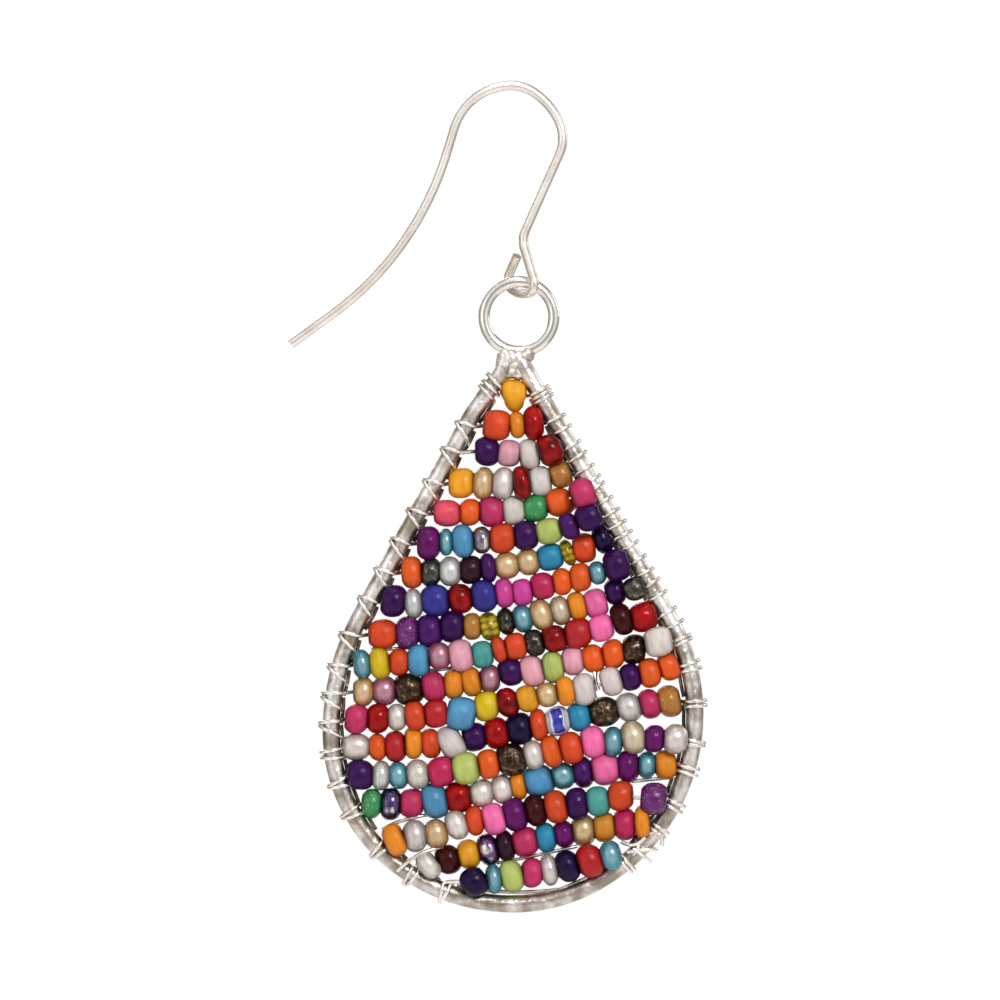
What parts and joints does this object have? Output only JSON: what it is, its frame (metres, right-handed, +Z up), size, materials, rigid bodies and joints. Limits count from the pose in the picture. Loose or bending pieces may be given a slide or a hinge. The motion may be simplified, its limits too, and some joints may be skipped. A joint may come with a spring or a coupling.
{
  "type": "beaded drop earring",
  "caption": "Drop earring: an ear wire's open loop carries a ring soldered to a teardrop of round wire, laced across with wired rows of small glass beads.",
  "frame": {"origin": "under the top of the ear wire's arch, where the wire sits in the ear", "axes": "+Z up, +X to the right across the teardrop with the ear wire's tail towards -X, +Y to the back of the hanging teardrop"},
  "size_m": [0.0351, 0.0039, 0.0703],
  "materials": {
    "ear_wire": "drawn silver wire, polished and lightly handled",
    "frame_wire": "warm silver wire, satin, with soft hand-worked facets and solder at the joint",
    "seed_beads": "mixed glass seed beads: opaque, pearl, transparent, silver-lined and metallic"
  },
  "bodies": {
    "hook": {"ear_hook": "ear_wire"},
    "drop": {"drop_frame": "frame_wire", "bead_row_01": "seed_beads", "bead_row_02": "seed_beads", "bead_row_03": "seed_beads", "bead_row_04": "seed_beads", "bead_row_05": "seed_beads", "bead_row_06": "seed_beads", "bead_row_07": "seed_beads", "bead_row_08": "seed_beads", "bead_row_09": "seed_beads", "bead_row_10": "seed_beads", "bead_row_11": "seed_beads", "bead_row_12": "seed_beads", "bead_row_13": "seed_beads", "bead_row_14": "seed_beads", "bead_row_15": "seed_beads", "bead_row_16": "seed_beads", "bead_row_17": "seed_beads", "bead_row_18": "seed_beads"}
  },
  "joints": [
    {"name": "drop_swing", "type": "hinge", "parent": "hook", "child": "drop", "pos_m": [0.00067, 0.0002, -0.01615], "axis": [1, 0, 0], "range_deg": [-70, 70]}
  ]
}
